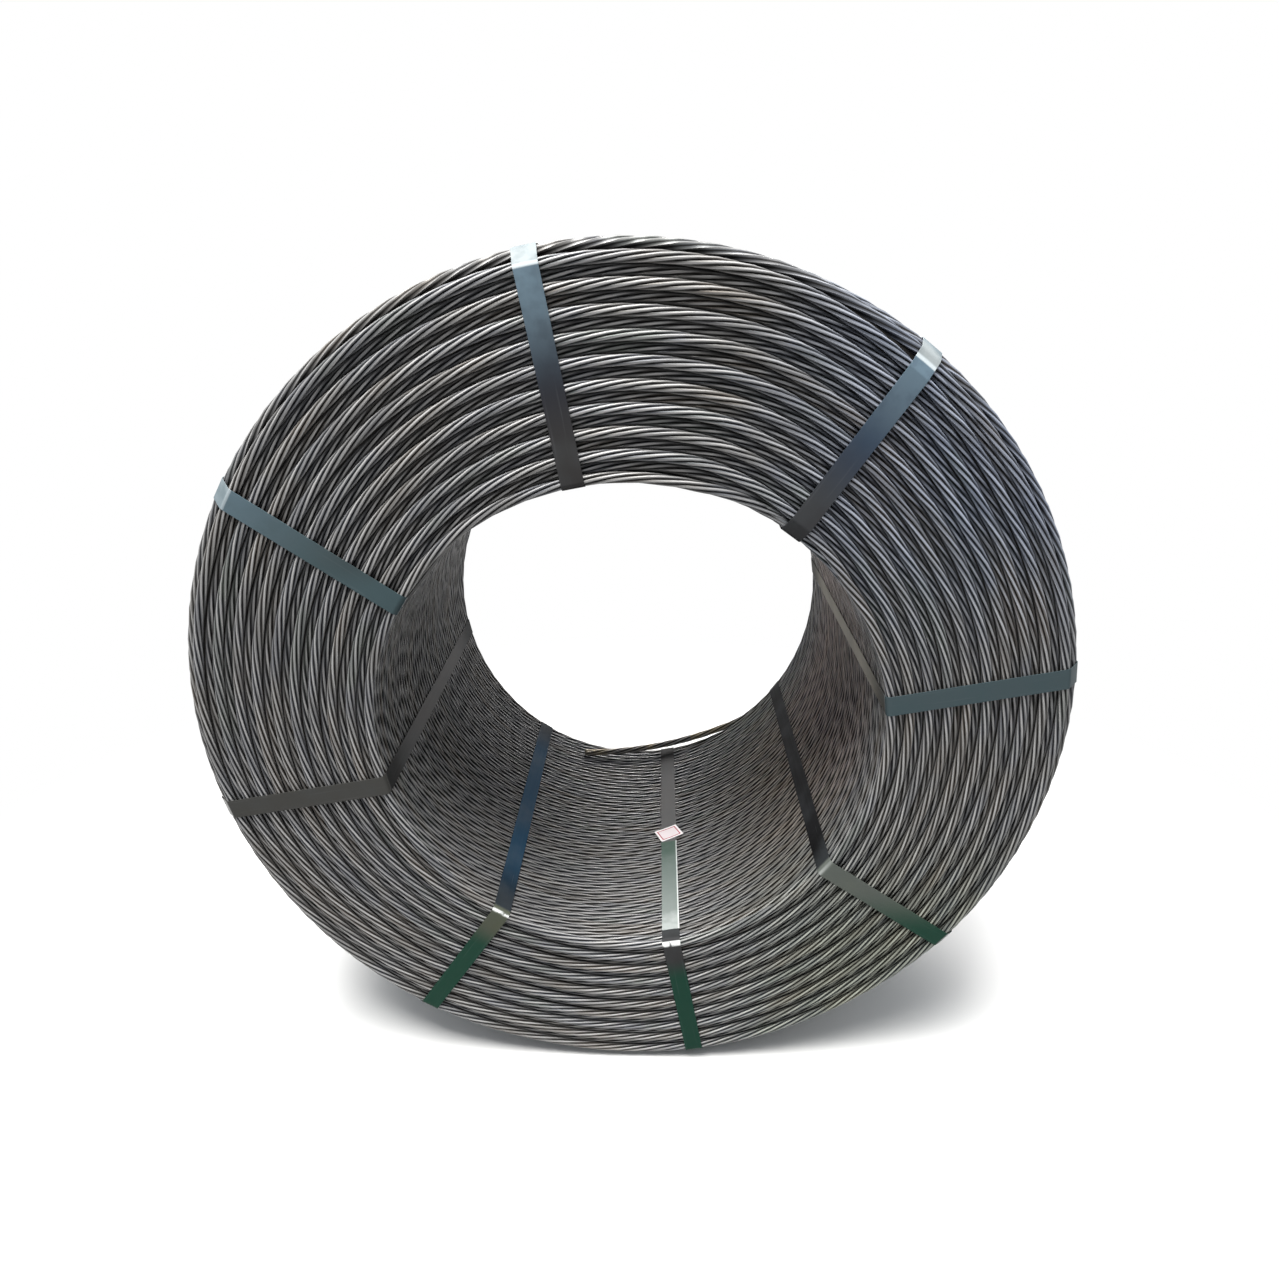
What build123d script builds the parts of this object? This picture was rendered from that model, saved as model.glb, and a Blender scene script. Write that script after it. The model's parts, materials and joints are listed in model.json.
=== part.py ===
import os
from math import cos, radians, sin, sqrt

from build123d import *

os.makedirs("parts", exist_ok=True)

# Coil, in mm
coil_length = 760
bore_diameter = 795

# Strand and its winding
strand_diameter = 15.24
layer_pitch = 14.2
layer_count = 20
smallest_turn_gap = 0.2

# Layers whose ends are not full
outer_layer_turns_short = 1
inner_layer_turns_short = 1

# Steel straps
strap_count = 8
first_strap_angle = -10.5
strap_width = 32
strap_thickness = 0.75
strap_clearance = 0.12
lap_length = 285
bore_lap_strap = 5
bore_lap_from_front = 35
strap_bend_sides = 8

# Tag on the strap at the bottom of the bore
tag_width = 50
tag_length = 44
tag_thickness = 0.4
tag_seat = 0.1
tag_turn = -22
tag_from_lap = 10
tag_sector = 12

# Loose end of the strand, which lies in the place of the inner layer's last turn and then springs off
loose_end_seat = 0.3
loose_end_start_angle = 64
loose_end_lift_angle = 134
loose_end_tip_angle = 199
lift_bend_radius = 120
lift_bend_angle = 24
outer_wire_count = 6

# Sizes that follow
strand_radius = strand_diameter / 2
bore_radius = bore_diameter / 2
turns_per_layer = 1 + int((coil_length - strand_diameter) / (strand_diameter + smallest_turn_gap))
turn_pitch = (coil_length - strand_diameter) / (turns_per_layer - 1)
first_layer_radius = bore_radius + strand_radius
outer_layer_radius = first_layer_radius + (layer_count - 1) * layer_pitch
coil_radius = outer_layer_radius + strand_radius
end_face = coil_length / 2
inner_layer_face = end_face - inner_layer_turns_short * turn_pitch
outer_layer_face = end_face - outer_layer_turns_short * turn_pitch

coil_center = Vector(0, 0, coil_radius)
coil_axis = Axis(coil_center, (0, 1, 0))


def outward(angle):
    """Direction away from the coil axis, clockwise from the top as seen from the front."""
    return Vector(sin(radians(angle)), 0, cos(radians(angle)))


def radial_plane(angle):
    """Plane through the coil axis: x is the radius, y runs along the axis to the back."""
    return Plane(coil_center, x_dir=outward(angle), z_dir=outward(angle).cross(coil_axis.direction))


def wall_plane(angle):
    """Plane through the coil axis that faces outward: x runs along the axis, y across a strap."""
    return Plane(coil_center, x_dir=coil_axis.direction, z_dir=outward(angle))


def layer_radius(layer):
    """Radius at the middle of a layer's strand, counted from 0 at the bore."""
    return first_layer_radius + layer * layer_pitch


# Ends of the winding, from the bore outward, through the crest of each layer's last turn:
# every second layer stands out, and the layers between sit half a turn back
standing_radii = [layer_radius(layer) for layer in range(0, layer_count, 2)]
layer_crests = [
    (layer_radius(layer), end_face if layer % 2 == 0 else end_face - turn_pitch / 2)
    for layer in range(1, layer_count - 1)
]
outer_edge = [
    (outer_layer_radius, outer_layer_face),
    (coil_radius, outer_layer_face - strand_radius),
]
full_inner_edge = [
    (bore_radius, end_face - strand_radius),
    (first_layer_radius, end_face),
]
seat_radius = first_layer_radius + strand_radius + loose_end_seat
short_inner_edge = [
    (bore_radius, inner_layer_face - strand_radius),
    (first_layer_radius, inner_layer_face),
    (seat_radius, inner_layer_face),
]
front_end = full_inner_edge + layer_crests + outer_edge
back_end = short_inner_edge + layer_crests + outer_edge

# Wound strand, one turned solid with its bore
with BuildPart() as strand_coil:
    with BuildSketch(radial_plane(0)):
        with BuildLine():
            Polyline(
                *[(radius, -along) for radius, along in front_end],
                *reversed(back_end),
                close=True,
            )
        make_face()
    revolve(axis=coil_axis)
strand_coil.part.label = "strand_coil"
export_step(strand_coil.part, "parts/strand_coil.step")

# Loose inner end of the strand, six-sided for its six outer wires
loose_plane = Plane(
    coil_center + coil_axis.direction * (end_face - strand_radius),
    x_dir=(1, 0, 0),
    z_dir=-coil_axis.direction,
)
with BuildPart() as loose_end:
    with BuildLine(loose_plane) as route:
        seated = CenterArc(
            (0, 0),
            first_layer_radius,
            90 - loose_end_start_angle,
            loose_end_start_angle - loose_end_lift_angle,
        )
        lift = JernArc(seated @ 1, seated % 1, lift_bend_radius, -lift_bend_angle)
        tip = loose_plane.from_local_coords(
            Vector(first_layer_radius, 0).rotate(Axis.Z, 90 - loose_end_tip_angle)
        )
        TangentArc(lift @ 1, tip, tangent=lift % 1)
    with BuildSketch(route.line ^ 0):
        RegularPolygon(strand_radius, outer_wire_count)
    sweep()
loose_end.part.label = "loose_end"
export_step(loose_end.part, "parts/loose_end.step")

# Straps: a taut loop over the turns at the corners, closed by a lap
strap_sag = bore_radius - sqrt(bore_radius**2 - (strap_width / 2) ** 2)
strap_gap = strap_sag + strap_clearance
bore_lap_middle = -end_face + bore_lap_from_front + lap_length / 2
strap_angles = [first_strap_angle + index * 360 / strap_count for index in range(strap_count)]
shared_corners = [
    (first_layer_radius, -(end_face - strand_radius)),
    (standing_radii[1], end_face - strand_radius),
    (standing_radii[-1], end_face - strand_radius),
    (standing_radii[-1], -(end_face - strand_radius)),
    (outer_layer_radius, outer_layer_face - strand_radius),
    (outer_layer_radius, -(outer_layer_face - strand_radius)),
]
corner_over_loose_end = (first_layer_radius, end_face - strand_radius)
corner_over_short_layer = (first_layer_radius, inner_layer_face - strand_radius)

for number, angle in enumerate(strap_angles, start=1):
    over_loose_end = loose_end_start_angle < angle < loose_end_lift_angle
    back_corner = corner_over_loose_end if over_loose_end else corner_over_short_layer
    if number == bore_lap_strap:
        lap_place = (bore_radius - strap_gap - strap_thickness, bore_lap_middle)
    else:
        lap_place = (coil_radius + strap_gap + strap_thickness, 0)
    with BuildPart() as strap:
        with BuildSketch(radial_plane(angle)):
            with BuildSketch(mode=Mode.PRIVATE) as section:
                with Locations(back_corner, *shared_corners):
                    RegularPolygon(
                        strand_radius,
                        strap_bend_sides,
                        major_radius=False,
                        rotation=180 / strap_bend_sides,
                    )
                make_hull()
            offset(section.sketch, strap_gap + strap_thickness, kind=Kind.INTERSECTION)
            offset(section.sketch, strap_gap, kind=Kind.INTERSECTION, mode=Mode.SUBTRACT)
            with Locations(lap_place):
                Rectangle(2 * strap_thickness, lap_length)
        extrude(amount=strap_width / 2, both=True)
    strap.part.label = f"strap_{number}"
    export_step(strap.part, f"parts/strap_{number}.step")

# Blank tag on the strap in the bore, just behind the lap
tag_angle = strap_angles[bore_lap_strap - 1]
tag_radius = bore_radius - strap_gap - strap_thickness - tag_seat - tag_thickness / 2
tag_middle = bore_lap_middle + lap_length / 2 + tag_from_lap + tag_length / 2
with BuildPart() as tag:
    with BuildSketch(radial_plane(tag_angle - tag_sector / 2)):
        with Locations((tag_radius, tag_middle)):
            Rectangle(tag_thickness, 2 * tag_length)
    revolve(axis=coil_axis, revolution_arc=tag_sector)
    with BuildSketch(wall_plane(tag_angle)):
        with Locations((tag_middle, 0)):
            Rectangle(tag_length, tag_width, rotation=tag_turn)
    extrude(amount=bore_radius, mode=Mode.INTERSECT)
tag.part.label = "tag"
export_step(tag.part, "parts/tag.step")
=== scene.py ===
"""Dresses the coil of strand: wound seven-wire strand, lacquered steel straps, loose end and tag."""
import cmath
import json
import math
from collections import namedtuple

import bmesh
import bpy
from mathutils import Matrix, Vector


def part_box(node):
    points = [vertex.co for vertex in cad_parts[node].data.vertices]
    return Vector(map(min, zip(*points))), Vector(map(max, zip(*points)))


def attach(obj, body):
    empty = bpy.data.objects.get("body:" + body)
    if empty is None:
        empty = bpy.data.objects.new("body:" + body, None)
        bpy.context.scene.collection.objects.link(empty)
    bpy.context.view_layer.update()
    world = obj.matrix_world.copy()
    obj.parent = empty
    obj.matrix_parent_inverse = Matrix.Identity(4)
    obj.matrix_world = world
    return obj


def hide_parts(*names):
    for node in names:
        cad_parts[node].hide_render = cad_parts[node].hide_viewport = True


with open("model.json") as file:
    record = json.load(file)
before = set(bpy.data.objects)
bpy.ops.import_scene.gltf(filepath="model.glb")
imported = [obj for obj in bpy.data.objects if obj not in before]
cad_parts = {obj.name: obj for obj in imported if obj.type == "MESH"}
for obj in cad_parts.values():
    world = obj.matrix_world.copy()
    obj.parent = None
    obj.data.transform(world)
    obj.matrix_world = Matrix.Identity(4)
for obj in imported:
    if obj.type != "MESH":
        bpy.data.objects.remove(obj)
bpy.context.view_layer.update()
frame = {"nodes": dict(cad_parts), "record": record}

# Sizes from the frame, in metres
coil_low, coil_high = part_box("strand_coil")
coil_middle = (coil_low + coil_high) / 2
coil_radius = (coil_high.x - coil_low.x) / 2
axis_height = (coil_high.z + coil_low.z) / 2
end_face = coil_high.y
bore_radius = frame["record"]["mounts"][0]["dims"]["r_mm"] / 1000

# Strand and winding
strand_radius = 0.00762
strand_lay = 0.25
outer_wire_count = 6
wire_share = 1 / 3
layer_count = 20
turns_per_layer = 49
turn_pitch = 2 * (end_face - strand_radius) / (turns_per_layer - 1)
half_turn = turn_pitch / 2
first_layer = bore_radius + strand_radius
outer_layer = coil_radius - strand_radius
layer_pitch = (outer_layer - first_layer) / (layer_count - 1)
standing_along = end_face - strand_radius
recessed_along = end_face - 2 * strand_radius
outer_along = standing_along - turn_pitch
last_standing = outer_layer - layer_pitch
step_length = 0.0245
front_step_length = 0.018
wire_edge_angle = 55

# Play of the turns between the straps
end_sway = 0.0038
standing_sink = 0.0035
recessed_sink = 0.003
bore_sway = 0.0008
wall_drift = 0.0012

# Straps
strap_count = 8
first_strap_angle = math.radians(-10.5)
strap_step = math.tau / strap_count
strap_width = 0.032
strap_thickness = 0.00075
strap_seat = 0.0004
strap_chamfer = 0.0002
strap_edge_angle = 30
strap_point_spacing = 0.03
lap_length = 0.285
lap_from_front = 0.035
bore_lap_strap = 5
loose_end_straps = (3, 4)

# Sector under one strap where every turn shifts to its next place, as a share of a turn
shift_strap = 2
shift_angle = first_strap_angle + (shift_strap - 1) * strap_step
shift_share = 0.12

# Loose inner end of the strand
lift_angle = math.radians(138)
lift_radius = 0.12
lift_swing = math.radians(17)
lift_steps = 4
tail_steps = 24
tip_angle = math.radians(199)
tip_radius = bore_radius - 1.05 * strand_radius
tip_lean = 0.08
tail_rust = 0.5

# Tag
tag_length = 0.044
tag_width = 0.05
tag_turn = math.radians(-22)


# Small helpers for node trees
def add_node(tree, kind, **settings):
    node = tree.nodes.new(kind)
    for name, value in settings.items():
        setattr(node, name, value)
    return node


def feed(tree, socket, value):
    """Links an output to a socket, or sets the socket's own value."""
    if isinstance(value, bpy.types.NodeSocket):
        tree.links.new(value, socket)
    else:
        socket.default_value = value


def calc(tree, operation, *values):
    node = add_node(tree, "ShaderNodeMath", operation=operation)
    for socket, value in zip(node.inputs, values):
        feed(tree, socket, value)
    return node.outputs[0]


def product(tree, *values):
    """All the values multiplied together."""
    result = values[0]
    for value in values[1:]:
        result = calc(tree, "MULTIPLY", result, value)
    return result


def blend(tree, value, low, high, start, end, kind="SMOOTHSTEP"):
    node = add_node(tree, "ShaderNodeMapRange", interpolation_type=kind)
    for socket, number in zip(node.inputs, (value, low, high, start, end)):
        feed(tree, socket, number)
    return node.outputs[0]


def vector(tree, x, y, z):
    node = add_node(tree, "ShaderNodeCombineXYZ")
    for socket, value in zip(node.inputs, (x, y, z)):
        feed(tree, socket, value)
    return node.outputs[0]


def separate(tree, value):
    node = add_node(tree, "ShaderNodeSeparateXYZ")
    feed(tree, node.inputs[0], value)
    return node.outputs


# Geometry trees
def geometry_group(name, inputs):
    """A geometry tree with named inputs: the tree, its input sockets by name and its output node."""
    tree = bpy.data.node_groups.new(name, "GeometryNodeTree")
    for label, kind, default in inputs:
        socket = tree.interface.new_socket(label, in_out="INPUT", socket_type=kind)
        if default is not None:
            socket.default_value = default
    tree.interface.new_socket("Geometry", in_out="OUTPUT", socket_type="NodeSocketGeometry")
    entry = add_node(tree, "NodeGroupInput")
    return tree, {s.name: s for s in entry.outputs if s.name}, add_node(tree, "NodeGroupOutput")


def store(tree, geometry, name, kind, value):
    node = add_node(tree, "GeometryNodeStoreNamedAttribute", data_type=kind, domain="POINT")
    feed(tree, node.inputs["Geometry"], geometry)
    node.inputs["Name"].default_value = name
    feed(tree, node.inputs["Value"], value)
    return node.outputs[0]


def moved(tree, geometry, place):
    """The geometry with each point at a new place."""
    node = add_node(tree, "GeometryNodeSetPosition")
    feed(tree, node.inputs["Geometry"], geometry)
    feed(tree, node.inputs["Position"], place)
    return node.outputs[0]


def swept(tree, path, section):
    """A closed body of one section along a path."""
    node = add_node(tree, "GeometryNodeCurveToMesh")
    feed(tree, node.inputs["Curve"], path)
    feed(tree, node.inputs["Profile Curve"], section)
    node.inputs["Fill Caps"].default_value = True
    return node.outputs[0]


def finished(tree, geometry, material, out):
    """Ends a tree: real geometry with its material."""
    real = add_node(tree, "GeometryNodeRealizeInstances")
    feed(tree, real.inputs[0], geometry)
    coloured = add_node(tree, "GeometryNodeSetMaterial")
    feed(tree, coloured.inputs["Geometry"], real.outputs[0])
    feed(tree, coloured.inputs["Material"], material)
    feed(tree, out.inputs[0], coloured.outputs[0])


def strand_section(tree, inp):
    """Outline of the six outer wires, with its place round the strand kept on each point."""
    circle = add_node(tree, "GeometryNodeCurvePrimitiveCircle")
    point_count = calc(tree, "MULTIPLY", inp["Points per Wire"], outer_wire_count)
    feed(tree, circle.inputs["Resolution"], point_count)
    circle.inputs["Radius"].default_value = 1.0
    place = add_node(tree, "GeometryNodeInputPosition").outputs[0]
    ring = store(tree, circle.outputs["Curve"], "around", "FLOAT_VECTOR", place)
    x, y, _ = separate(tree, place)
    half_wire = math.tau / outer_wire_count / 2
    off_wire = calc(tree, "PINGPONG", calc(tree, "ARCTAN2", y, x), half_wire)
    centre_share = 1 - wire_share
    across = calc(tree, "MULTIPLY", calc(tree, "SINE", off_wire), centre_share)
    depth = calc(tree, "SUBTRACT", wire_share**2, calc(tree, "MULTIPLY", across, across))
    bulge = calc(tree, "SQRT", calc(tree, "MAXIMUM", depth, 0.0))
    reach = calc(tree, "MULTIPLY_ADD", calc(tree, "COSINE", off_wire), centre_share, bulge)
    scaled = add_node(tree, "ShaderNodeVectorMath", operation="SCALE")
    feed(tree, scaled.inputs[0], place)
    feed(tree, scaled.inputs["Scale"], calc(tree, "MULTIPLY", reach, inp["Strand Radius"]))
    return moved(tree, ring, scaled.outputs[0])


def make_skin_tree():
    """Seven-wire strand along a curve: six outer wires, twisted at the lay length."""
    tree, inp, out = geometry_group("Strand skin", (
        ("Curve", "NodeSocketGeometry", None),
        ("Strand Radius", "NodeSocketFloat", strand_radius),
        ("Lay", "NodeSocketFloat", strand_lay),
        ("Twist Drift", "NodeSocketFloat", 9.0),
        ("Points per Wire", "NodeSocketInt", 4),
        ("Rust", "NodeSocketFloat", 0.0),
        ("Clean Length", "NodeSocketFloat", 0.0),
        ("Material", "NodeSocketMaterial", None),
    ))
    slack_rate = 0.4
    rust_onset = 0.12
    length = add_node(tree, "GeometryNodeSplineParameter").outputs["Length"]
    slack = add_node(tree, "ShaderNodeTexNoise", noise_dimensions="1D")
    feed(tree, slack.inputs["W"], calc(tree, "MULTIPLY", length, slack_rate))
    slack.inputs["Scale"].default_value = 1.0
    slack.inputs["Detail"].default_value = 3.0
    drift = calc(tree, "MULTIPLY", slack.outputs[0], inp["Twist Drift"])
    twist = calc(tree, "MULTIPLY_ADD", calc(tree, "DIVIDE", length, inp["Lay"]), -math.tau, drift)
    tilted = add_node(tree, "GeometryNodeSetCurveTilt")
    feed(tree, tilted.inputs["Curve"], inp["Curve"])
    feed(tree, tilted.inputs["Tilt"], twist)
    path = store(tree, tilted.outputs[0], "run", "FLOAT", length)
    weathered = calc(tree, "SUBTRACT", length, inp["Clean Length"])
    rust = calc(tree, "MULTIPLY", blend(tree, weathered, 0.0, rust_onset, 0.0, 1.0), inp["Rust"])
    path = store(tree, path, "rust", "FLOAT", rust)
    finished(tree, swept(tree, path, strand_section(tree, inp)), inp["Material"], out)
    return tree


def make_winding_tree(skin):
    """Turns of strand that keep their place round the coil and shift to the next place in one sector."""
    tree, inp, out = geometry_group("Wound strand", (
        ("Geometry", "NodeSocketGeometry", None),
        ("Turns", "NodeSocketInt", 10),
        ("Steps per Turn", "NodeSocketInt", 140),
        ("Start Radius", "NodeSocketFloat", outer_layer),
        ("Radius Step", "NodeSocketFloat", 0.0),
        ("Start Along", "NodeSocketFloat", 0.0),
        ("Along Step", "NodeSocketFloat", 0.0),
        ("Lead In Radius", "NodeSocketFloat", 0.0),
        ("Lead In Along", "NodeSocketFloat", 0.0),
        ("Lead Out Radius", "NodeSocketFloat", 0.0),
        ("Lead Out Along", "NodeSocketFloat", 0.0),
        ("Wander Radius", "NodeSocketFloat", 0.0),
        ("Wander Along", "NodeSocketFloat", 0.0),
        ("Seed", "NodeSocketFloat", 0.0),
        ("Points per Wire", "NodeSocketInt", 4),
        ("Material", "NodeSocketMaterial", None),
    ))
    turn_stride = 2.3
    line = add_node(tree, "GeometryNodeCurvePrimitiveLine")
    points = add_node(tree, "GeometryNodeResampleCurve")
    feed(tree, points.inputs["Curve"], line.outputs[0])
    total = calc(tree, "MULTIPLY_ADD", inp["Turns"], inp["Steps per Turn"], 1.0)
    feed(tree, points.inputs["Count"], total)
    index = add_node(tree, "GeometryNodeInputIndex").outputs[0]
    turn = calc(tree, "DIVIDE", index, inp["Steps per Turn"])
    nearest = calc(tree, "ROUND", turn)
    half_shift = shift_share / 2
    shift = blend(tree, calc(tree, "SUBTRACT", turn, nearest), -half_shift, half_shift, 0.0, 1.0)
    station = calc(tree, "ADD", calc(tree, "SUBTRACT", nearest, 1.0), shift)
    lead_in = blend(tree, turn, 0.0, half_shift, 1.0, 0.0)
    lead_out = blend(tree, calc(tree, "SUBTRACT", inp["Turns"], turn), 0.0, half_shift, 1.0, 0.0)

    angle = calc(tree, "MULTIPLY_ADD", turn, math.tau, shift_angle)
    sine, cosine = calc(tree, "SINE", angle), calc(tree, "COSINE", angle)
    between = calc(tree, "MULTIPLY", calc(tree, "SUBTRACT", angle, first_strap_angle), strap_count / 2)
    freedom = calc(tree, "ABSOLUTE", calc(tree, "SINE", between))
    noise = add_node(tree, "ShaderNodeTexNoise", noise_dimensions="4D")
    feed(tree, noise.inputs["Vector"], vector(tree, sine, cosine, 0.0))
    feed(tree, noise.inputs["W"], calc(tree, "MULTIPLY_ADD", station, turn_stride, inp["Seed"]))
    noise.inputs["Scale"].default_value = 2.2
    noise.inputs["Detail"].default_value = 2.0
    first, second, _ = separate(tree, noise.outputs["Color"])
    sway = calc(tree, "MULTIPLY", calc(tree, "MULTIPLY_ADD", first, 2.0, -1.0), freedom)
    sink = calc(tree, "MULTIPLY", second, freedom)

    def placed(direction, play):
        """Place of a turn along one direction, with its leads at both ends and its play."""
        value = calc(tree, "MULTIPLY_ADD", station, inp[f"{direction} Step"], inp[f"Start {direction}"])
        value = calc(tree, "MULTIPLY_ADD", lead_in, inp[f"Lead In {direction}"], value)
        value = calc(tree, "MULTIPLY_ADD", lead_out, inp[f"Lead Out {direction}"], value)
        return calc(tree, "MULTIPLY_ADD", play, inp[f"Wander {direction}"], value)

    radius, along = placed("Radius", sway), placed("Along", sink)
    height = calc(tree, "MULTIPLY_ADD", radius, cosine, axis_height)
    place = vector(tree, calc(tree, "MULTIPLY", radius, sine), along, height)
    strand = add_node(tree, "GeometryNodeGroup", node_tree=skin)
    feed(tree, strand.inputs["Curve"], moved(tree, points.outputs[0], place))
    feed(tree, strand.inputs["Points per Wire"], inp["Points per Wire"])
    feed(tree, strand.inputs["Material"], inp["Material"])
    feed(tree, out.inputs[0], strand.outputs[0])
    return tree


def make_strap_tree():
    """Flat strap on a loop drawn as radius and place along the axis, then turned to its angle."""
    tree, inp, out = geometry_group("Flat strap", (
        ("Loop", "NodeSocketGeometry", None),
        ("Width", "NodeSocketFloat", strap_width),
        ("Thickness", "NodeSocketFloat", strap_thickness),
        ("Edge Chamfer", "NodeSocketFloat", strap_chamfer),
        ("Angle", "NodeSocketFloat", 0.0),
        ("Face Tint", "NodeSocketColor", None),
        ("Bore Tint", "NodeSocketColor", None),
        ("Material", "NodeSocketMaterial", None),
    ))
    upright = add_node(tree, "GeometryNodeSetCurveNormal", mode="Z_UP")
    feed(tree, upright.inputs["Curve"], inp["Loop"])
    length = add_node(tree, "GeometryNodeSplineParameter").outputs["Length"]
    path = store(tree, upright.outputs[0], "run", "FLOAT", length)
    spline_index = add_node(tree, "GeometryNodeCurveOfPoint").outputs["Curve Index"]
    path = store(tree, path, "lap", "FLOAT", spline_index)
    path = store(tree, path, "face_tint", "FLOAT_COLOR", inp["Face Tint"])
    path = store(tree, path, "bore_tint", "FLOAT_COLOR", inp["Bore Tint"])

    flat = add_node(tree, "GeometryNodeCurvePrimitiveQuadrilateral")
    feed(tree, flat.inputs["Width"], inp["Thickness"])
    feed(tree, flat.inputs["Height"], inp["Width"])
    eased = add_node(tree, "GeometryNodeFilletCurve", mode="POLY")
    feed(tree, eased.inputs["Curve"], flat.outputs[0])
    eased.inputs["Count"].default_value = 1
    feed(tree, eased.inputs["Radius"], inp["Edge Chamfer"])
    place = add_node(tree, "GeometryNodeInputPosition").outputs[0]
    section = store(tree, eased.outputs[0], "across", "FLOAT_VECTOR", place)

    turned = add_node(tree, "GeometryNodeTransform")
    feed(tree, turned.inputs["Geometry"], swept(tree, path, section))
    turned.inputs["Translation"].default_value = (0.0, 0.0, axis_height)
    quarter = calc(tree, "SUBTRACT", inp["Angle"], math.pi / 2)
    feed(tree, turned.inputs["Rotation"], vector(tree, 0.0, quarter, 0.0))
    finished(tree, turned.outputs[0], inp["Material"], out)
    return tree


# Pieces from trees
def dress(obj, replaces=()):
    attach(obj, "root")
    if replaces:
        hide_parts(*replaces)
    return obj


def linked(name, mesh):
    """A mesh as an object of the scene."""
    piece = bpy.data.objects.new(name, mesh)
    bpy.context.scene.collection.objects.link(piece)
    return piece


def grown(name, tree, values, sharp, source=None):
    """Runs a geometry tree on a source object and keeps the result as one plain mesh."""
    source = source or bpy.data.objects.new(name + "_source", bpy.data.meshes.new(name + "_source"))
    bpy.context.scene.collection.objects.link(source)
    modifier = source.modifiers.new("Grow", "NODES")
    modifier.node_group = tree
    for item in tree.interface.items_tree:
        if item.in_out == "INPUT" and item.name in values:
            modifier[item.identifier] = values[item.name]
    graph = bpy.context.evaluated_depsgraph_get()
    mesh = bpy.data.meshes.new_from_object(source.evaluated_get(graph), depsgraph=graph)
    mesh.name = name
    bpy.data.objects.remove(source)
    mesh.shade_smooth()
    mesh.set_sharp_from_angle(angle=math.radians(sharp))
    return linked(name, mesh)


def curve_source(name, splines):
    """A curve object from lists of points, each with a flag that closes it."""
    curve = bpy.data.curves.new(name, "CURVE")
    curve.dimensions = "3D"
    for points, closed in splines:
        spline = curve.splines.new("POLY")
        spline.points.add(len(points) - 1)
        for point, place in zip(spline.points, points):
            point.co = (*place, 1.0)
        spline.use_cyclic_u = closed
    return bpy.data.objects.new(name, curve)


# Helpers for materials
def new_material(name):
    material = bpy.data.materials.new(name)
    material.use_nodes = True
    return material, material.node_tree, material.node_tree.nodes["Principled BSDF"]


def object_place(tree):
    return add_node(tree, "ShaderNodeTexCoord").outputs["Object"]


def attribute(tree, name, output="Fac"):
    return add_node(tree, "ShaderNodeAttribute", attribute_name=name).outputs[output]


def opaque(colour):
    """A written colour with its alpha; a socket stays as it is."""
    return colour if isinstance(colour, bpy.types.NodeSocket) else (*colour, 1.0)


def ramp(tree, value, stops):
    node = add_node(tree, "ShaderNodeValToRGB")
    while len(node.color_ramp.elements) < len(stops):
        node.color_ramp.elements.new(1.0)
    for element, (place, colour) in zip(node.color_ramp.elements, stops):
        element.position = place
        element.color = opaque(colour)
    feed(tree, node.inputs[0], value)
    return node.outputs[0]


def noise_at(tree, place, scale, detail=3.0, roughness=0.55):
    node = add_node(tree, "ShaderNodeTexNoise")
    feed(tree, node.inputs["Vector"], place)
    node.inputs["Scale"].default_value = scale
    node.inputs["Detail"].default_value = detail
    node.inputs["Roughness"].default_value = roughness
    return node.outputs["Fac"]


def mix_colour(tree, factor, first, second, kind="MIX"):
    node = add_node(tree, "ShaderNodeMix", data_type="RGBA", blend_type=kind)
    feed(tree, node.inputs[0], factor)
    feed(tree, node.inputs[6], opaque(first))
    feed(tree, node.inputs[7], opaque(second))
    return node.outputs[2]


def bump_normal(tree, height, strength, distance):
    node = add_node(tree, "ShaderNodeBump")
    node.inputs["Strength"].default_value = strength
    node.inputs["Distance"].default_value = distance
    feed(tree, node.inputs["Height"], height)
    return node.outputs[0]


def shader_group(name, inputs, outputs):
    """A shader node group with named inputs and outputs: the group, its inputs and its output node."""
    group = bpy.data.node_groups.new(name, "ShaderNodeTree")
    for label, kind in inputs:
        group.interface.new_socket(label, in_out="INPUT", socket_type=kind)
    for label in outputs:
        group.interface.new_socket(label, in_out="OUTPUT", socket_type="NodeSocketFloat")
    return group, add_node(group, "NodeGroupInput").outputs, add_node(group, "NodeGroupOutput")


def make_streak_group():
    """Fine streaks that follow a drawn or rolled piece along its length."""
    group, inp, out = shader_group("Drawn streaks", (
        ("Across", "NodeSocketVector"),
        ("Run", "NodeSocketFloat"),
        ("Stretch", "NodeSocketFloat"),
        ("Fineness", "NodeSocketFloat"),
    ), ("Streak",))
    drawn = calc(group, "DIVIDE", inp["Run"], inp["Stretch"])
    spread = add_node(group, "ShaderNodeVectorMath", operation="ADD")
    feed(group, spread.inputs[0], inp["Across"])
    feed(group, spread.inputs[1], vector(group, 0.0, 0.0, drawn))
    streak = add_node(group, "ShaderNodeTexNoise")
    feed(group, streak.inputs["Vector"], spread.outputs[0])
    feed(group, streak.inputs["Scale"], inp["Fineness"])
    streak.inputs["Detail"].default_value = 4.0
    feed(group, out.inputs["Streak"], streak.outputs["Fac"])
    return group


def streaks(tree, group, across, run, stretch, fineness):
    node = add_node(tree, "ShaderNodeGroup", node_tree=group)
    for label, value in (("Across", across), ("Run", run), ("Stretch", stretch), ("Fineness", fineness)):
        feed(tree, node.inputs[label], value)
    return node.outputs["Streak"]


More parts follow.
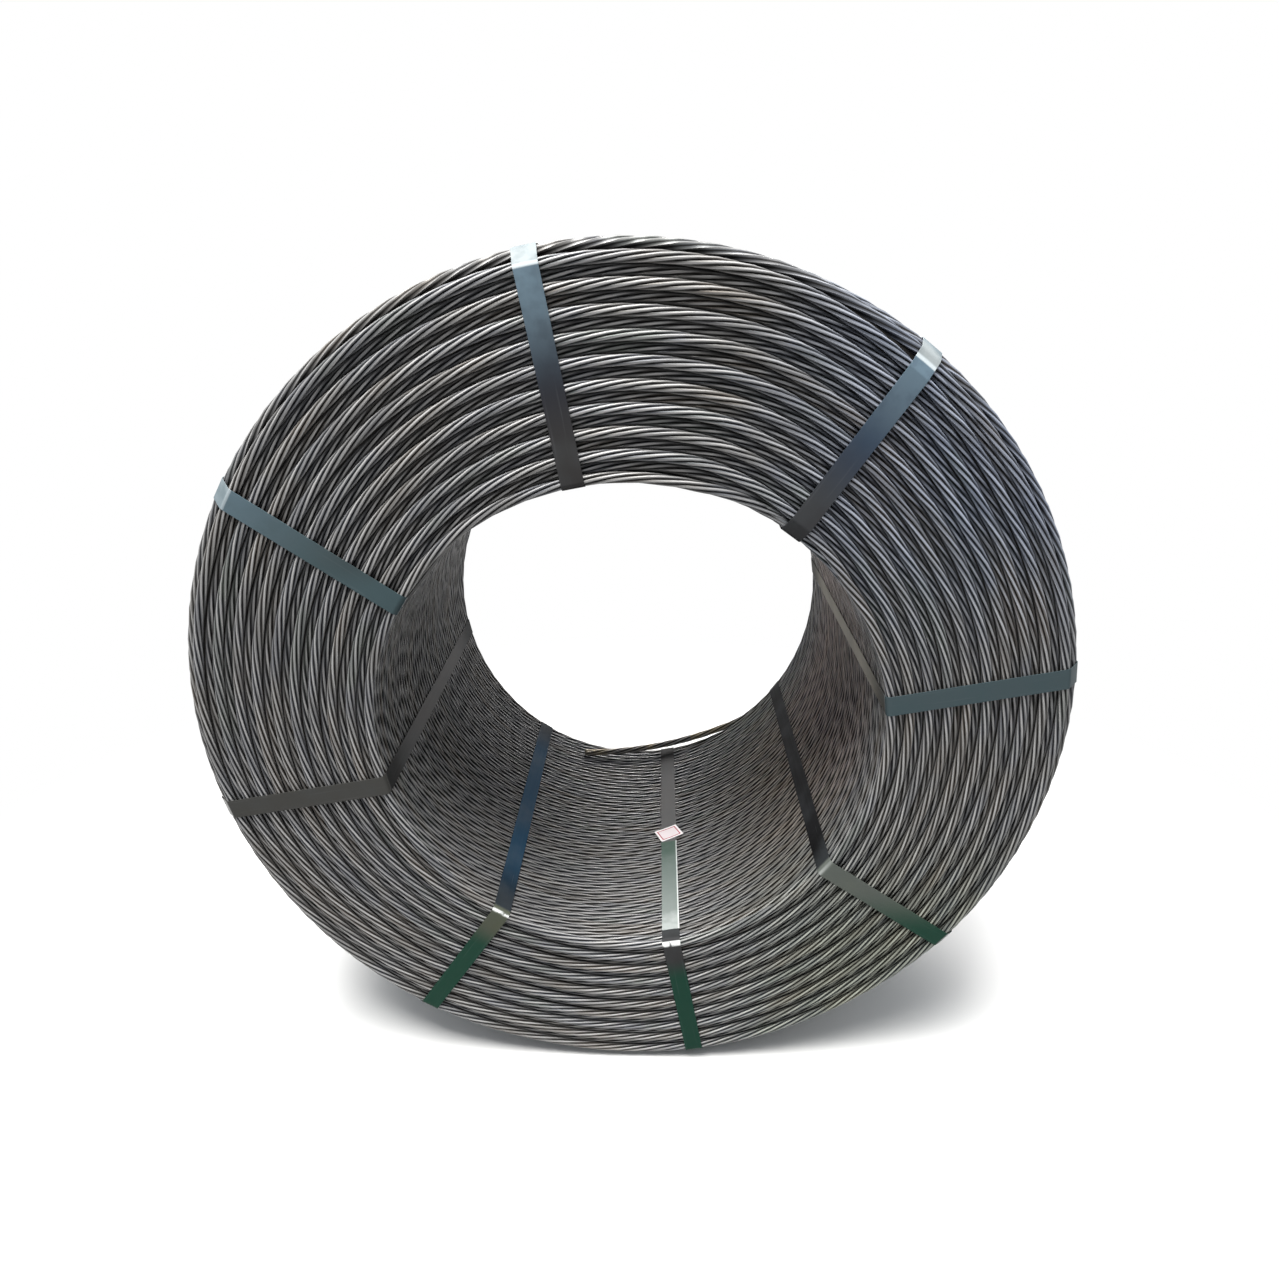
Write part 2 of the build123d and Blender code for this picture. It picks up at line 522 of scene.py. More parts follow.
def make_place_group():
    """How far a point of the coil lies from the axis, and below the nearer end."""
    group, inp, out = shader_group(
        "Place on the coil", (("Place", "NodeSocketVector"),), ("From Axis", "Below End"))
    x, along, z = separate(group, inp["Place"])
    above = calc(group, "SUBTRACT", z, axis_height)
    square = calc(group, "MULTIPLY_ADD", x, x, calc(group, "MULTIPLY", above, above))
    feed(group, out.inputs["From Axis"], calc(group, "SQRT", square))
    feed(group, out.inputs["Below End"], calc(group, "SUBTRACT", end_face, calc(group, "ABSOLUTE", along)))
    return group


CoilPlace = namedtuple("CoilPlace", "place x along height from_axis below_end")


def coil_place(tree, group):
    place = object_place(tree)
    node = add_node(tree, "ShaderNodeGroup", node_tree=group)
    feed(tree, node.inputs["Place"], place)
    return CoilPlace(place, *separate(tree, place), node.outputs["From Axis"], node.outputs["Below End"])


# Strand: colours of the wires and the rust on them, with painted highlights, shade and reflections
wire_tones = (
    (0.34, (0.112, 0.098, 0.085)),
    (0.46, (0.104, 0.101, 0.097)),
    (0.56, (0.092, 0.096, 0.108)),
    (0.68, (0.090, 0.099, 0.091)),
)
# Painted highlight along the crest of each wire
crest_highlight_grey = (0.41, 0.405, 0.40)
# Painted shade on the turns in the front part of the bore
bore_shade_tone = (0.020, 0.019, 0.018)
yellow_rust = (0.52, 0.40, 0.20)
# Painted shade in the grooves between wires and on the deeper turns
groove_shade_black = (0.010, 0.0095, 0.009)
# Painted reflections: sky blue on the upper right, ground green on the lower right
sky_blue_reflection = (0.90, 1.0, 1.22)
ground_green_reflection = (0.94, 1.0, 0.86)
brown_cast = (1.24, 1.05, 0.98)
# Near-black painted shade on the turns deep in the winding
deep_shade_tones = ((0.3, (0.012, 0.011, 0.010)), (0.7, (0.03, 0.028, 0.026)))
groove_share = 0.42


def wire_crest(tree, around):
    """1 along the crest of each outer wire, 0 in the grooves between."""
    cosine, sine, _ = separate(tree, around)
    wires = calc(tree, "MULTIPLY", calc(tree, "ARCTAN2", sine, cosine), float(outer_wire_count))
    return calc(tree, "MULTIPLY_ADD", calc(tree, "COSINE", wires), 0.5, 0.5)


def wire_tone(tree, place, run):
    """Slow changes of tone along and between the turns."""
    tone_scale = 5.0
    tone_drift = 0.35
    drifted = add_node(tree, "ShaderNodeVectorMath", operation="MULTIPLY_ADD")
    feed(tree, drifted.inputs[0], place)
    drifted.inputs[1].default_value = (tone_scale, tone_scale, tone_scale)
    feed(tree, drifted.inputs[2], vector(tree, 0.0, calc(tree, "MULTIPLY", run, tone_drift), 0.0))
    return ramp(tree, noise_at(tree, drifted.outputs[0], 1.0), wire_tones)


def strand_casts(tree, spot, in_bore, colour):
    """Painted reflections over the right half of the coil: sky blue on its upper part, ground green on its
    lower part; and a faint brown deep in the bore.
    """
    right = blend(tree, spot.x, 0.10, 0.40, 0.0, 1.0)
    upper = blend(tree, spot.height, axis_height + 0.10, axis_height + 0.40, 0.0, 1.0)
    lower = blend(tree, spot.height, axis_height - 0.40, axis_height - 0.10, 1.0, 0.0)
    deep = product(tree, in_bore, blend(tree, spot.below_end, 0.04, 0.22, 0.0, 1.0))
    for mask, cast in ((upper, sky_blue_reflection), (lower, ground_green_reflection), (deep, brown_cast)):
        colour = mix_colour(tree, product(tree, right, mask), colour, cast, "MULTIPLY")
    return colour


def winding_depth(tree, spot):
    """How far a point lies below the nearest outer face of the coil."""
    from_bore = calc(tree, "SUBTRACT", spot.from_axis, bore_radius)
    from_outside = calc(tree, "SUBTRACT", coil_radius, spot.from_axis)
    return calc(tree, "MINIMUM", spot.below_end, calc(tree, "MINIMUM", from_bore, from_outside))


def make_strand_material(streak_group, place_group):
    """Drawn steel wire: painted highlights on the crests, painted shade in the grooves, on deep turns and
    in the bore, painted blue and green reflections, faint brown stretches.
    """
    material, tree, steel = new_material("drawn_strand")
    around, run = attribute(tree, "around", "Vector"), attribute(tree, "run")
    streak = streaks(tree, streak_group, around, run, stretch=0.6, fineness=3.0)
    crest = wire_crest(tree, around)
    spot = coil_place(tree, place_group)
    # Painted highlight: a bright line along the crest of each wire, broken up by the streaks
    drawn = blend(tree, streak, 0.34, 0.62, 0.20, 0.90)
    line = product(tree, blend(tree, crest, groove_share, 0.96, 0.0, 1.0), drawn)
    colour = mix_colour(tree, line, wire_tone(tree, spot.place, run), crest_highlight_grey)

    in_bore = blend(tree, spot.from_axis, bore_radius + 0.006, bore_radius + 0.016, 1.0, 0.0)
    colour = strand_casts(tree, spot, in_bore, colour)
    # Painted shade in the bore: turns darker from the front to the middle, fading out towards the back and
    # right at the ends
    bore_front_shade = blend(tree, spot.along, -0.12, 0.20, 0.38, 0.0)
    off_the_end = blend(tree, spot.below_end, 0.010, 0.035, 0.0, 1.0)
    colour = mix_colour(tree, product(tree, in_bore, bore_front_shade, off_the_end), colour, bore_shade_tone)
    blotch = blend(tree, noise_at(tree, spot.place, 22.0), 0.35, 0.6, 0.1, 0.9)
    colour = mix_colour(tree, product(tree, attribute(tree, "rust"), blotch), colour, yellow_rust)

    # Painted shade: near-black in the grooves between the wires, and darker on turns further below the
    # faces of the coil
    groove_shade = blend(tree, crest, 0.0, groove_share, 1.0, 0.0)
    recess_shade = blend(tree, winding_depth(tree, spot), 0.0045, 0.0145, 0.0, 0.56)
    shade = calc(tree, "MAXIMUM", groove_shade, recess_shade)
    feed(tree, steel.inputs["Base Color"], mix_colour(tree, shade, colour, groove_shade_black))
    steel.inputs["Metallic"].default_value = 0.3
    steel.inputs["Specular IOR Level"].default_value = 0.2
    feed(tree, steel.inputs["Roughness"], blend(tree, streak, 0.25, 0.75, 0.34, 0.52))
    feed(tree, steel.inputs["Normal"], bump_normal(tree, streak, strength=0.15, distance=0.0006))
    return material


def make_core_material():
    """Turns deep in the winding, seen only through the gaps, painted near-black as shade."""
    material, tree, steel = new_material("deep_winding")
    tone = ramp(tree, noise_at(tree, object_place(tree), 30.0), deep_shade_tones)
    feed(tree, steel.inputs["Base Color"], tone)
    steel.inputs["Metallic"].default_value = 0.3
    steel.inputs["Roughness"].default_value = 0.8
    return material


# Straps: colours of the lacquer and of its wear, with painted highlights and reflections
slate = (0.022, 0.024, 0.031)
navy = (0.020, 0.032, 0.058)
teal = (0.052, 0.080, 0.088)
sage = (0.112, 0.124, 0.106)
olive = (0.078, 0.085, 0.056)
grey = (0.055, 0.054, 0.050)
black = (0.006, 0.006, 0.007)
soot = (0.036, 0.035, 0.036)
ash = (0.120, 0.118, 0.117)
sand = (0.460, 0.430, 0.365)
# Painted reflection: the blue in the bore of strap 6
blue = (0.002, 0.030, 0.064)
shadow = (0.0, 0.0, 0.0)
warm_grey = (0.036, 0.034, 0.033)
cloud = (0.075, 0.085, 0.092)
# Painted green reflection on the outer ends of the low straps
strap_green_reflection = (0.009, 0.049, 0.031)
# Painted pale blue reflection towards the outer ends of the high straps
strap_sky_reflection = (0.135, 0.195, 0.240)
# Painted reflection on the shoulders of the top straps, and painted highlight line along their bend
shoulder_reflection_tones = ((0.38, (0.185, 0.212, 0.220)), (0.62, (0.285, 0.312, 0.318)))
bend_highlight_line = (0.52, 0.57, 0.59)
# Painted highlight along the inner front bend of the low straps
bend_glint_white = (0.78, 0.80, 0.79)
lap_tones = (
    (0.06, (0.31, 0.335, 0.325)),
    (0.20, (0.18, 0.206, 0.195)),
    (0.72, (0.125, 0.160, 0.145)),
    (0.92, (0.065, 0.105, 0.085)),
)
# Painted highlight along one edge of the lap
lap_edge_highlight = (0.62, 0.65, 0.64)
scratch_grey = (0.20, 0.21, 0.22)


def strap_tint(tree, spot, in_bore):
    """Each strap's own tints, grey at the inner ends of the high straps, dark at both ends of the bore."""
    near_end = blend(tree, spot.below_end, 0.03, 0.20, 0.88, 0.0)
    bore_tint = mix_colour(tree, near_end, attribute(tree, "bore_tint", "Color"), shadow)
    near_bore = blend(tree, spot.from_axis, bore_radius + 0.04, bore_radius + 0.16, 0.9, 0.0)
    near_bore = product(tree, near_bore, blend(tree, spot.height, 0.93, 1.0, 0.0, 1.0))
    face_tint = mix_colour(tree, near_bore, attribute(tree, "face_tint", "Color"), warm_grey)
    clouds = blend(tree, noise_at(tree, spot.place, 9.0), 0.38, 0.70, 0.0, 0.25)
    return mix_colour(tree, clouds, mix_colour(tree, in_bore, face_tint, bore_tint), cloud)


def green_ends(tree, spot, colour):
    """Painted green reflection on the outer part of the low straps."""
    low = blend(tree, spot.height, 0.32, 0.42, 1.0, 0.0)
    outer_part = blend(tree, spot.from_axis, bore_radius + 0.035, bore_radius + 0.09, 0.0, 0.95)
    return mix_colour(tree, product(tree, low, outer_part), colour, strap_green_reflection)


def blue_tops(tree, spot, fleck, colour):
    """Painted pale blue reflection towards the outer ends of the high straps."""
    sheen = product(
        tree,
        blend(tree, spot.from_axis, last_standing - 0.15, last_standing, 0.0, 0.9),
        blend(tree, fleck, 0.30, 0.60, 0.68, 0.95),
        blend(tree, spot.below_end, 0.03, 0.12, 1.0, 0.0),
        blend(tree, spot.height, axis_height + 0.12, axis_height + 0.62, 0.0, 1.0),
    )
    return mix_colour(tree, sheen, colour, strap_sky_reflection)


def outer_bend(tree, spot, fleck, colour):
    """Painted reflection on the shoulders of the top straps, with a painted highlight line along the bend;
    returns the shoulder too.
    """
    top = blend(tree, spot.height, axis_height + 0.28, axis_height + 0.50, 0.0, 1.0)
    shoulder = product(
        tree,
        blend(tree, spot.from_axis, last_standing + 0.001, last_standing + 0.006, 0.0, 0.95),
        blend(tree, spot.below_end, 0.012, 0.045, 1.0, 0.0),
        top,
    )
    line = product(
        tree,
        blend(tree, spot.from_axis, last_standing - 0.001, last_standing + 0.001, 0.0, 0.9),
        blend(tree, spot.from_axis, last_standing + 0.003, last_standing + 0.006, 1.0, 0.0),
        top,
    )
    colour = mix_colour(tree, shoulder, colour, ramp(tree, fleck, shoulder_reflection_tones))
    return mix_colour(tree, line, colour, bend_highlight_line), shoulder


def inner_bend(tree, spot, colour):
    """Painted highlight along the inner front bend of the low straps, broadest on the lowest."""
    broader = blend(tree, spot.height, 0.30, 0.34, 0.004, 0.0)
    reach = calc(tree, "SUBTRACT", spot.from_axis, broader)
    glint = product(
        tree,
        blend(tree, spot.below_end, 0.0015, 0.0050, 1.0, 0.0),
        blend(tree, reach, bore_radius + 0.002, bore_radius + 0.006, 1.0, 0.0),
        blend(tree, spot.height, 0.33, 0.50, 1.0, 0.0),
        blend(tree, noise_at(tree, spot.place, 90.0), 0.32, 0.46, 0.1, 1.0),
    )
    return mix_colour(tree, glint, colour, bend_glint_white)


def pale_lap(tree, spot, fleck, in_bore, across, colour):
    """The lap in the bore: pale at its front end, green at its back, with a painted highlight along one
    edge.
    """
    lap = product(tree, attribute(tree, "lap"), in_bore)
    lap_end = lap_from_front + lap_length
    from_front = blend(tree, spot.below_end, lap_from_front, lap_end, -0.15, 0.85, "LINEAR")
    tone = ramp(tree, calc(tree, "MULTIPLY_ADD", fleck, 0.3, from_front), lap_tones)
    colour = mix_colour(tree, lap, colour, tone)
    edge = blend(tree, separate(tree, across)[1], -0.0144, -0.0128, 0.8, 0.0)
    return mix_colour(tree, product(tree, lap, edge), colour, lap_edge_highlight)


def make_strap_material(streak_group, place_group):
    """Lacquer on steel: painted reflections on the matt shoulders high up and green on the outer ends low
    down, painted highlights on the bends, faint streaks.
    """
    material, tree, lacquer = new_material("strap_lacquer")
    spot = coil_place(tree, place_group)
    fleck = noise_at(tree, spot.place, 38.0)
    across, run = attribute(tree, "across", "Vector"), attribute(tree, "run")
    streak = streaks(tree, streak_group, across, run, stretch=40.0, fineness=260.0)
    below_bend = blend(tree, spot.below_end, 0.006, 0.016, 0.0, 1.0)
    in_bore = product(tree, below_bend, blend(tree, spot.from_axis, bore_radius, first_layer, 1.0, 0.0))

    colour = strap_tint(tree, spot, in_bore)
    colour = green_ends(tree, spot, colour)
    colour = blue_tops(tree, spot, fleck, colour)
    colour, shoulder = outer_bend(tree, spot, fleck, colour)
    colour = inner_bend(tree, spot, colour)
    colour = pale_lap(tree, spot, fleck, in_bore, across, colour)
    scratch = blend(tree, streak, 0.62, 0.80, 0.0, 0.12)
    feed(tree, lacquer.inputs["Base Color"], mix_colour(tree, scratch, colour, scratch_grey))
    lacquer.inputs["Specular IOR Level"].default_value = 0.05
    gloss = blend(tree, streak, 0.3, 0.7, 0.16, 0.26)
    matt = calc(tree, "MAXIMUM", in_bore, shoulder)
    feed(tree, lacquer.inputs["Roughness"], calc(tree, "MULTIPLY_ADD", matt, 0.4, gloss))
    waves = noise_at(tree, spot.place, 16.0, detail=2.0)
    feed(tree, lacquer.inputs["Normal"], bump_normal(tree, waves, strength=0.15, distance=0.002))
    return material


# Tag: colours of the card and its border
card_tones = ((0.3, (0.88, 0.83, 0.83)), (0.7, (0.93, 0.89, 0.89)))
card_field = (0.82, 0.73, 0.745)
crimson = (0.42, 0.030, 0.060)


def make_tag_material(middle, turn):
    """Matt card with a thin crimson line just inside its edge."""
    border_inset = 0.0055
    border_half_width = 0.0011
    material, tree, card = new_material("tag_card")
    place = object_place(tree)
    flat = add_node(tree, "ShaderNodeMapping", vector_type="TEXTURE")
    feed(tree, flat.inputs["Vector"], place)
    flat.inputs["Location"].default_value = middle
    flat.inputs["Rotation"].default_value = turn
    along, across, _ = separate(tree, flat.outputs[0])
    inset_along = calc(tree, "SUBTRACT", tag_length / 2, calc(tree, "ABSOLUTE", along))
    inset_across = calc(tree, "SUBTRACT", tag_width / 2, calc(tree, "ABSOLUTE", across))
    inset = calc(tree, "MINIMUM", inset_along, inset_across)
    line = calc(tree, "COMPARE", inset, border_inset, border_half_width)
    fibre = noise_at(tree, place, 400.0)
    inside = blend(tree, inset, border_inset + 0.0005, border_inset + 0.0015, 0.0, 1.0)
    colour = mix_colour(tree, inside, ramp(tree, fibre, card_tones), card_field)
    feed(tree, card.inputs["Base Color"], mix_colour(tree, line, colour, crimson))
    card.inputs["Roughness"].default_value = 0.7
    feed(tree, card.inputs["Normal"], bump_normal(tree, fibre, strength=0.1, distance=0.0004))
    return material


streak_group = make_streak_group()
place_group = make_place_group()
strand_steel = make_strand_material(streak_group, place_group)
strap_lacquer = make_strap_material(streak_group, place_group)
skin_tree = make_skin_tree()
winding_tree = make_winding_tree(skin_tree)
strap_tree = make_strap_tree()


# Wound strand
def wind(name, seed, turns, radius, along, radius_step=0.0, along_step=0.0, points=4, step=step_length,
         **more):
    """One run of neighbouring turns as a piece."""
    mean_radius = radius + radius_step * (turns - 1) / 2
    values = {
        "Turns": turns,
        "Steps per Turn": round(math.tau * mean_radius / step),
        "Start Radius": radius,
        "Radius Step": radius_step,
        "Start Along": along,
        "Along Step": along_step,
        "Seed": seed,
        "Points per Wire": points,
        "Material": strand_steel,
    }
    values.update({key.replace("_", " ").title(): value for key, value in more.items()})
    return dress(grown(name, winding_tree, values, wire_edge_angle))


# Turns that show on the ends: every second layer stands out, the layers between sit back
standing_count = layer_count // 2
recessed_count = standing_count - 1
first_recessed = last_standing - layer_pitch
end_turns = {"radius_step": -2 * layer_pitch, "wander_radius": end_sway}
front_turns = wind(
    "front_standing_turns", 1.7, standing_count, last_standing, -standing_along, points=6,
    step=front_step_length, lead_in_radius=-layer_pitch / 2, lead_in_along=half_turn,
    lead_out_radius=layer_pitch, lead_out_along=half_turn, wander_along=standing_sink, **end_turns)
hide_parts("strand_coil")
wind(
    "front_recessed_turns", 9.1, recessed_count, first_recessed, -recessed_along,
    step=front_step_length, wander_along=recessed_sink, **end_turns)
wind(
    "back_standing_turns", 21.3, standing_count - 1, last_standing, standing_along,
    lead_in_radius=-layer_pitch / 2, lead_in_along=-half_turn, wander_along=-standing_sink, **end_turns)
wind(
    "back_recessed_turns", 33.9, recessed_count, first_recessed, recessed_along,
    wander_along=-recessed_sink, **end_turns)

# Turns that line the bore, from the front back, in two pieces
wall_turns = turns_per_layer - 2
wall_half = wall_turns // 2
bore_start = -standing_along + turn_pitch
bore_layer = {"along_step": turn_pitch, "wander_radius": bore_sway, "wander_along": wall_drift}
wind("bore_turns_front", 41.0, wall_half, first_layer, bore_start, **bore_layer)
wind("bore_turns_back", 43.0, wall_turns - wall_half, first_layer, bore_start + wall_half * turn_pitch,
     **bore_layer)

# Turns of the outermost layer, from the back to the front, in two pieces
outside = {"along_step": -turn_pitch, "points": 3, "wander_along": wall_drift}
wind("outer_turns_back", 51.0, wall_half, outer_layer, outer_along, **outside)
wind("outer_turns_front", 53.0, wall_turns - wall_half, outer_layer, outer_along - wall_half * turn_pitch,
     lead_out_radius=-layer_pitch / 2, **outside)

# Winding behind the turns that show, painted near-black as shade
core_sink = 0.3 * strand_radius
core_outline = [
    (first_layer + core_sink, outer_along),
    (first_layer + 2 * strand_radius, recessed_along),
    (last_standing, recessed_along),
    (outer_layer - core_sink, outer_along),
]
core_outline += [(radius, -along) for radius, along in reversed(core_outline)]


def turned_ring(name, outline, steps=128):
    """A ring about the coil's axis from an outline of radius and place along the axis."""
    shell = bmesh.new()
    rings = []
    for step in range(steps):
        angle = math.tau * step / steps
        rings.append([
            shell.verts.new((radius * math.sin(angle), along, axis_height + radius * math.cos(angle)))
            for radius, along in outline])
    for ring, after in zip(rings, rings[1:] + rings[:1]):
        for index in range(len(outline)):
            shell.faces.new((ring[index - 1], ring[index], after[index], after[index - 1]))
    bmesh.ops.recalc_face_normals(shell, faces=shell.faces)
    mesh = bpy.data.meshes.new(name)
    shell.to_mesh(mesh)
    shell.free()
    mesh.materials.append(make_core_material())
    return linked(name, mesh)


dress(turned_ring("deep_winding", core_outline))


# Loose end: out of the last bore turn, round in its place, then off the wall
def ring_place(angle, radius=first_layer):
    """Place on a ring about the axis as a complex number, x and height above the axis."""
    return radius * complex(math.sin(angle), math.cos(angle))


def arc_from(start, heading, radius, swing, count):
    """Points of an arc that leaves start along heading and turns by swing."""
    turns = [cmath.rect(1, swing * k / count) for k in range(1, count + 1)]
    return [start + 1j * heading * radius * (1 - turn) for turn in turns]


def loose_end_route():
    half_shift = math.pi * shift_share
    steps = round((lift_angle - shift_angle) * first_layer / step_length)
    route = []
    for k in range(steps + 1):
        angle = shift_angle + (lift_angle - shift_angle) * k / steps
        share = min((angle - shift_angle) / half_shift, 1.0) / 2 + 0.5
        settled = share * share * (3 - 2 * share)
        route.append((ring_place(angle), outer_along + turn_pitch * settled))
    heading = cmath.rect(1, -lift_angle)
    path = arc_from(route[-1][0], heading, -lift_radius, -lift_swing, lift_steps)
    heading *= cmath.rect(1, -lift_swing)
    chord = ring_place(tip_angle, tip_radius) - path[-1]
    lean = cmath.phase(chord / heading)
    path += arc_from(path[-1], heading, abs(chord) / (2 * math.sin(lean)), 2 * lean, tail_steps)
    for k, place in enumerate(path, start=1):
        route.append((place, standing_along - tip_lean * (k / len(path)) ** 2))
    return [(place.real, along, axis_height + place.imag) for place, along in route]


loose_source = curve_source("loose_end_route", [(loose_end_route(), False)])
loose_values = {
    "Strand Radius": strand_radius,
    "Lay": strand_lay,
    "Points per Wire": 6,
    "Rust": tail_rust,
    "Clean Length": (lift_angle - shift_angle) * first_layer,
    "Material": strand_steel,
}
loose_strand = grown("loose_end_strand", skin_tree, loose_values, wire_edge_angle, loose_source)
dress(loose_strand, ["loose_end"])


# Straps, each drawn taut round the turns at the corners of the winding
def spaced(start, end):
    """Points between two points, both left out."""
    count = max(round((end - start).length / strap_point_spacing), 1)
    return [start.lerp(end, k / count) for k in range(1, count)]


def flat_points(points):
    return [(point.x, point.y, 0.0) for point in points]


def taut_loop(turns, reach, bend_count=8):
    """Loop round turns given as radius and place along the axis, at a reach from their middles."""
    points = []
    for before, turn, after in zip(turns[-1:] + turns[:-1], turns, turns[1:] + turns[:1]):
        arrive, leave = turn - before, after - turn
        start = math.atan2(arrive.y, arrive.x) - math.pi / 2
        swing = (math.atan2(leave.y, leave.x) - math.pi / 2 - start) % math.tau
        angles = [start + swing * k / bend_count for k in range(bend_count + 1)]
        bend = [turn + reach * Vector((math.cos(angle), math.sin(angle))) for angle in angles]
        if points:
            points += spaced(points[-1], bend[0])
        points += bend
    points += spaced(points[-1], points[0])
    return flat_points(points)


def lap_line(radius, start):
    ends = Vector((radius, start)), Vector((radius, start + lap_length))
    return flat_points([ends[0], *spaced(*ends), ends[1]])


front_corners = [
    Vector((first_layer, -standing_along)),
    Vector((last_standing, -standing_along)),
    Vector((outer_layer, -outer_along)),
]
back_corners = [
    Vector((outer_layer, outer_along)),
    Vector((last_standing, standing_along)),
]
corner_over_loose_end = [Vector((first_layer, standing_along))]
corner_over_short_layer = [
    Vector((first_layer + 2 * layer_pitch, standing_along)),
    Vector((first_layer, outer_along)),
]
corners_over_shift = [
    Vector((first_layer, half_turn - standing_along)),
    Vector((first_layer + layer_pitch, -standing_along)),
    Vector((outer_layer - 2 * layer_pitch, -standing_along)),
    Vector((outer_layer - layer_pitch / 2, half_turn - standing_along)),
    Vector((outer_layer, half_turn - outer_along)),
    Vector((outer_layer, standing_along - half_turn)),
    Vector((outer_layer - 2 * layer_pitch, standing_along)),
    Vector((first_layer + layer_pitch, standing_along)),
    Vector((first_layer, standing_along - half_turn)),
]

# Tints of each strap, on the faces of the winding and in the bore; the blue in the bore of strap 6 is a
# painted reflection
strap_tints = {
    1: (slate, grey),
    2: (navy, grey),
    3: (teal, sand),
    4: (sage, black),
    5: (soot, ash),
    6: (olive, blue),
    7: (grey, ash),
    8: (teal, grey),
}
strap_reach = strand_radius + strap_seat + strap_thickness / 2
lap_reach = strap_seat + 1.5 * strap_thickness
for number, (face_tint, bore_tint) in strap_tints.items():
    inner = corner_over_loose_end if number in loose_end_straps else corner_over_short_layer
    corners = corners_over_shift if number == shift_strap else front_corners + back_corners + inner
    loop = taut_loop(corners, strap_reach)
    if number == bore_lap_strap:
        lap = lap_line(bore_radius - lap_reach, -end_face + lap_from_front)
    else:
        lap = lap_line(coil_radius + lap_reach, -lap_length / 2)
    strap_source = curve_source(f"strap_loop_{number}", [(loop, True), (lap, False)])
    strap_values = {
        "Width": strap_width,
        "Thickness": strap_thickness,
        "Edge Chamfer": strap_chamfer,
        "Angle": first_strap_angle + (number - 1) * strap_step,
        "Face Tint": opaque(face_tint),
        "Bore Tint": opaque(bore_tint),
        "Material": strap_lacquer,
    }
    strap = grown(f"strap_band_{number}", strap_tree, strap_values, strap_edge_angle, strap_source)
    dress(strap, [f"strap_{number}"])

# Tag on the strap at the bottom of the bore
tag_low, tag_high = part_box("tag")
tag_strap_angle = first_strap_angle + (bore_lap_strap - 1) * strap_step
outward = Vector((math.sin(tag_strap_angle), 0.0, math.cos(tag_strap_angle)))
backward = Vector((0.0, 1.0, 0.0))
sideways = outward.cross(backward)
tag_along = math.cos(tag_turn) * backward + math.sin(tag_turn) * sideways
tag_axes = Matrix((tag_along, outward.cross(tag_along), outward)).transposed()
tag_card = make_tag_material((tag_low + tag_high) / 2, tag_axes.to_euler())
frame["nodes"]["tag"].material_slots[0].material = tag_card

# Camera at the photograph's view
camera_place = (0.0384, -1.6032, 1.3261)
camera_dip = math.radians(29.81)
camera_turn = math.radians(1.035)
camera_data = bpy.data.cameras.new("photo_view")
camera_data.sensor_width = 36.0
camera_data.lens = 24.93
camera_data.shift_y = 0.1095
camera = bpy.data.objects.new("photo_view", camera_data)
camera.location = camera_place
camera.rotation_euler = (math.pi / 2 - camera_dip, 0.0, camera_turn)
bpy.context.scene.collection.objects.link(camera)
bpy.context.scene.camera = camera

# Floor, light and world
white = (1.0, 1.0, 1.0)
floor_grey = (0.30, 0.30, 0.30)
floor_white = (0.90, 0.90, 0.89)
floor_reach = 30.0
floor_fade = (0.8, 1.9)
dome_tones = ((0.45, (0.07, 0.07, 0.07)), (0.62, (0.20, 0.21, 0.225)), (1.0, (0.80, 0.83, 0.87)))


def seen_directly(tree):
    """1 for what the camera sees, by itself or mirrored in another piece."""
    ray = add_node(tree, "ShaderNodeLightPath")
    mirrored = calc(tree, "MAXIMUM", ray.outputs["Is Glossy Ray"], ray.outputs["Is Transmission Ray"])
    return calc(tree, "MAXIMUM", ray.outputs["Is Camera Ray"], mirrored)


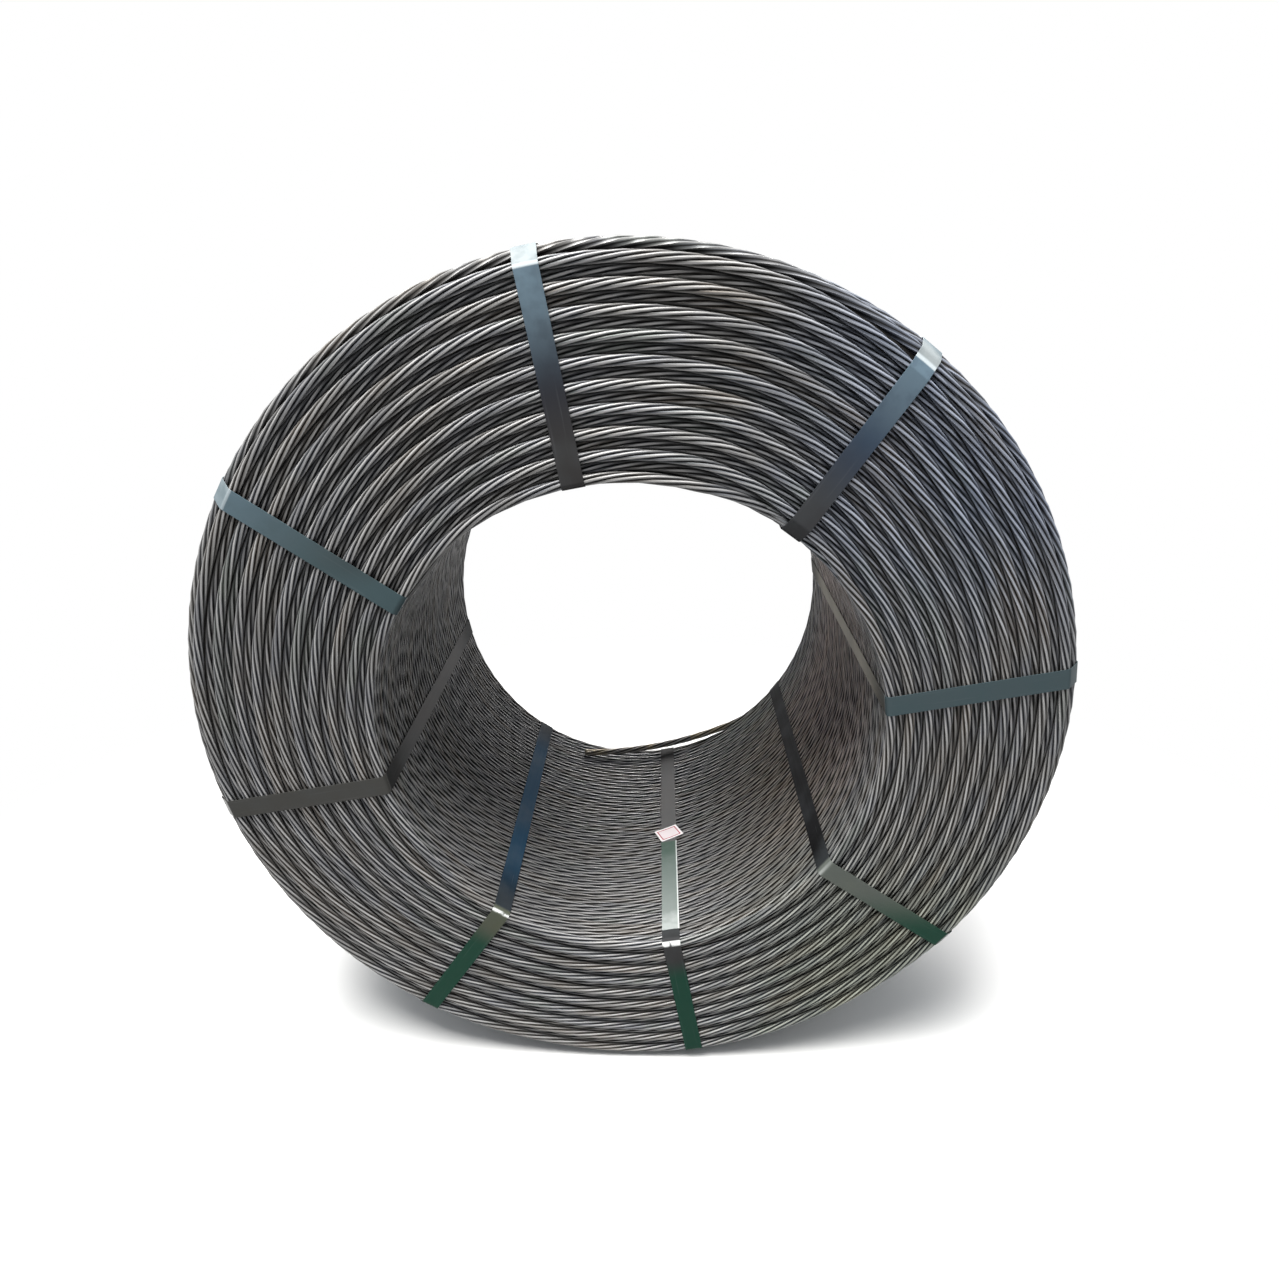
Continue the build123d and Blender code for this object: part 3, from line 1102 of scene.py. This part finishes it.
def make_floor_material():
    """White floor with the coil's shadow, fading to plain white away from the coil."""
    material, tree, paint = new_material("floor_paint")
    paint.inputs["Roughness"].default_value = 0.9
    feed(tree, paint.inputs["Base Color"], mix_colour(tree, seen_directly(tree), floor_grey, floor_white))
    distance = add_node(tree, "ShaderNodeVectorMath", operation="LENGTH")
    feed(tree, distance.inputs[0], object_place(tree))
    fade = blend(tree, distance.outputs["Value"], *floor_fade, 0.0, 1.0)
    backdrop = add_node(tree, "ShaderNodeEmission")
    backdrop.inputs["Strength"].default_value = 1.0
    mixed = add_node(tree, "ShaderNodeMixShader")
    feed(tree, mixed.inputs[0], product(tree, fade, seen_directly(tree)))
    feed(tree, mixed.inputs[1], paint.outputs[0])
    feed(tree, mixed.inputs[2], backdrop.outputs[0])
    feed(tree, tree.nodes["Material Output"].inputs["Surface"], mixed.outputs[0])
    return material


floor_mesh = bpy.data.meshes.new("floor")
floor_corners = [(x * floor_reach, y * floor_reach, 0) for x, y in ((-1, -1), (1, -1), (1, 1), (-1, 1))]
floor_mesh.from_pydata(floor_corners, [], [(0, 1, 2, 3)])
floor_mesh.materials.append(make_floor_material())
linked("floor", floor_mesh)


def soft_lamp(name, place, size, power, colour):
    """A square soft lamp turned to the middle of the coil."""
    lamp = bpy.data.lights.new(name, "AREA")
    lamp.shape = "SQUARE"
    lamp.size = size
    lamp.energy = power
    lamp.color = colour
    obj = bpy.data.objects.new(name, lamp)
    obj.location = place
    obj.rotation_euler = (coil_middle - obj.location).to_track_quat("-Z", "Y").to_euler()
    bpy.context.scene.collection.objects.link(obj)


soft_lamp("overhead", (-0.6, -1.35, 4.4), size=2.2, power=375.0, colour=(1.0, 0.99, 0.97))
soft_lamp("rear", (0.1, 2.7, 1.9), size=1.2, power=85.0, colour=(1.0, 0.97, 0.95))

world = bpy.data.worlds.new("studio")
bpy.context.scene.world = world
world.use_nodes = True
sky = world.node_tree
up = separate(sky, add_node(sky, "ShaderNodeTexCoord").outputs["Generated"])[2]
dome = ramp(sky, calc(sky, "MULTIPLY_ADD", up, 0.5, 0.5), dome_tones)
feed(sky, sky.nodes["Background"].inputs["Color"], mix_colour(sky, seen_directly(sky), dome, white))

bpy.context.scene.view_settings.view_transform = "Standard"
